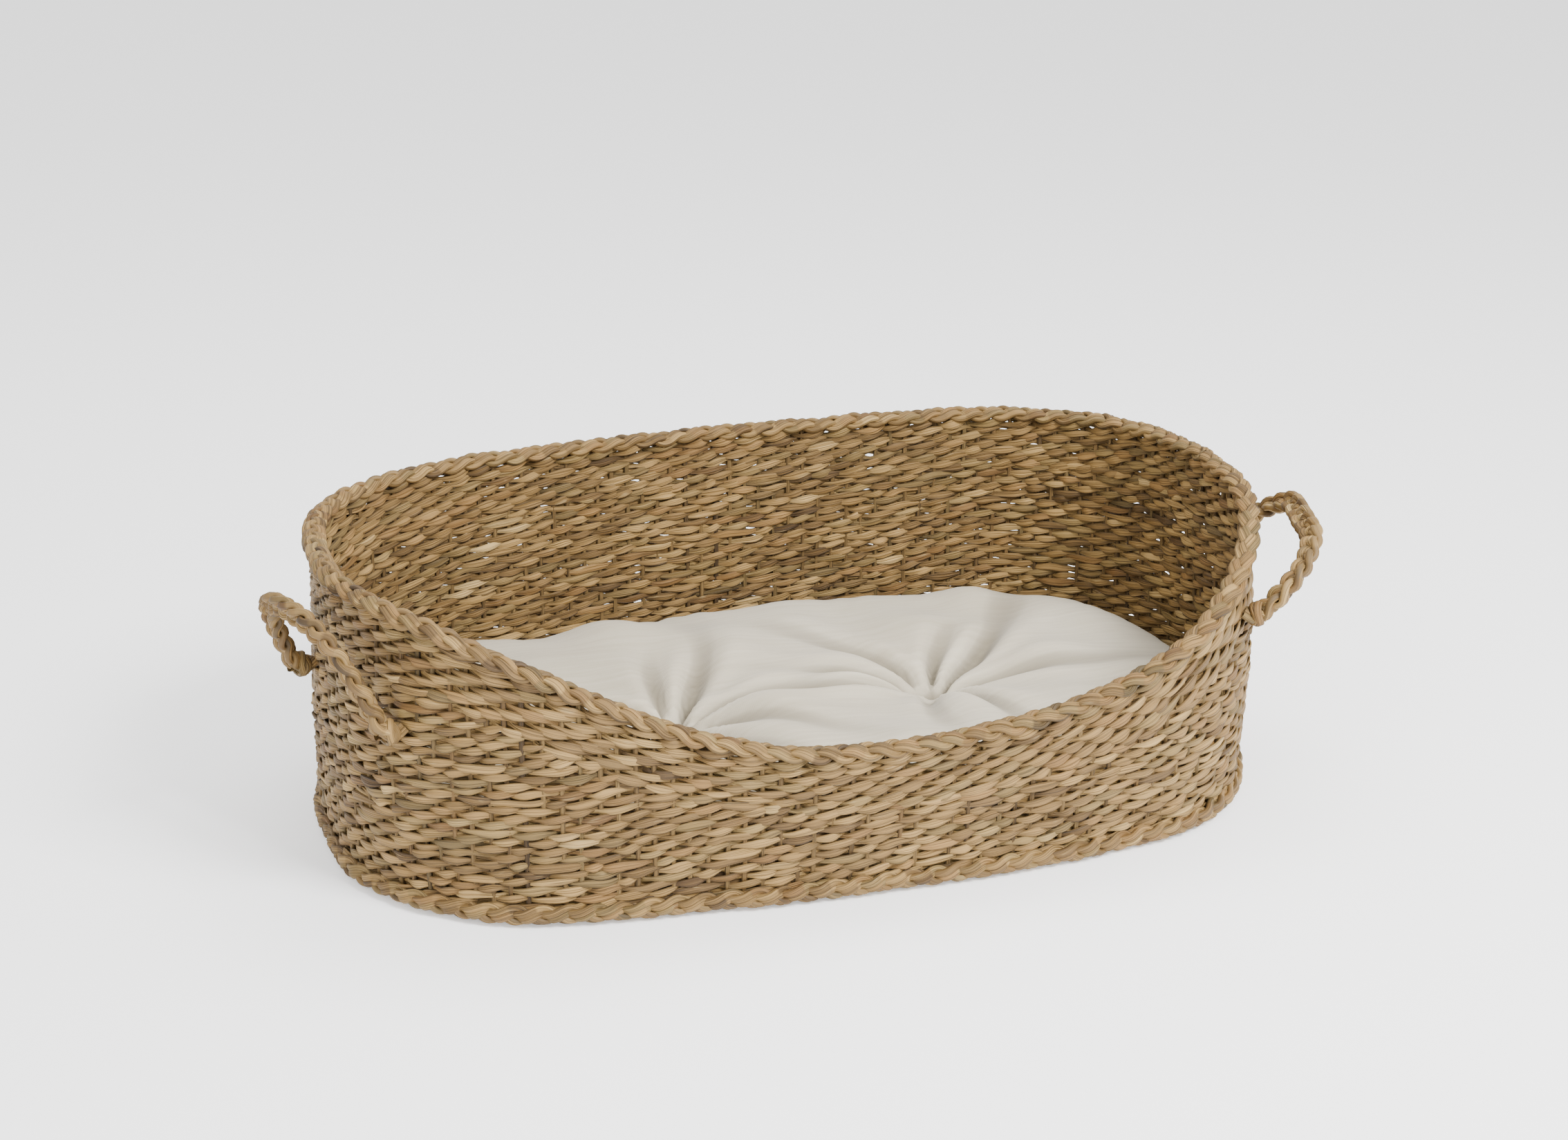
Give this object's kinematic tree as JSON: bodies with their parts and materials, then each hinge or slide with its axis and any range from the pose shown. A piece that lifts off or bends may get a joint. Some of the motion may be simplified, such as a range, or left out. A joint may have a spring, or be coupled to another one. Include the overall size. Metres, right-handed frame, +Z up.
{
  "type": "woven pet bed basket",
  "caption": "Oval woven seagrass bed basket with a dipped front, rope handles and a loose tufted cotton cushion.",
  "frame": {"origin": "middle of the flat underside of the base, on the floor", "axes": "+X along the basket's length towards its right end, -Y towards the dipped front, +Z up"},
  "size_m": [0.8073, 0.443, 0.238],
  "materials": {
    "seagrass_weave": "dry matt woven seagrass",
    "seagrass_band": "dry matt woven seagrass",
    "seagrass_border": "dry matt plaited seagrass",
    "seagrass_rope": "dry matt plaited seagrass rope",
    "stake": "dry matt grass stalk",
    "cotton": "unbleached plain-weave cotton",
    "fibre_fill": "soft white fibre filling",
    "thread": "matt cotton thread"
  },
  "bodies": {
    "basket": {"base_mat": "seagrass_weave", "base_ribs_cross": "stake", "base_ribs_long": "stake", "foot_border": "seagrass_border", "handle_left_anchors": "seagrass_rope", "handle_right_anchors": "seagrass_rope", "rim_border": "seagrass_border", "rim_core": "stake", "rim_row_1": "seagrass_band", "rim_row_2": "seagrass_band", "rim_row_3": "seagrass_band", "rim_row_4": "seagrass_band", "stakes_back": "stake", "stakes_front": "stake", "stakes_left": "stake", "stakes_right": "stake", "wall_weave_lower": "seagrass_weave", "wall_weave_upper": "seagrass_weave"},
    "handle_left": {"handle_left": "seagrass_rope"},
    "handle_right": {"handle_right": "seagrass_rope"},
    "cushion": {"cushion_cover": "cotton", "cushion_filling": "fibre_fill", "cushion_tufts": "thread"}
  },
  "joints": [
    {"name": "handle_left_swing", "type": "hinge", "parent": "basket", "child": "handle_left", "pos_m": [-0.35172, -0.06983, 0.138], "axis": [-0.2565, 0.9665, 0], "range_deg": [-139, 7]},
    {"name": "handle_right_swing", "type": "hinge", "parent": "basket", "child": "handle_right", "pos_m": [0.3477, -0.07107, 0.157], "axis": [-0.2746, -0.9616, 0], "range_deg": [-117, 28]},
    {"name": "cushion_lift", "type": "slide", "parent": "basket", "child": "cushion", "axis": [0, 0, 1], "range_m": [0, 0.3]}
  ]
}
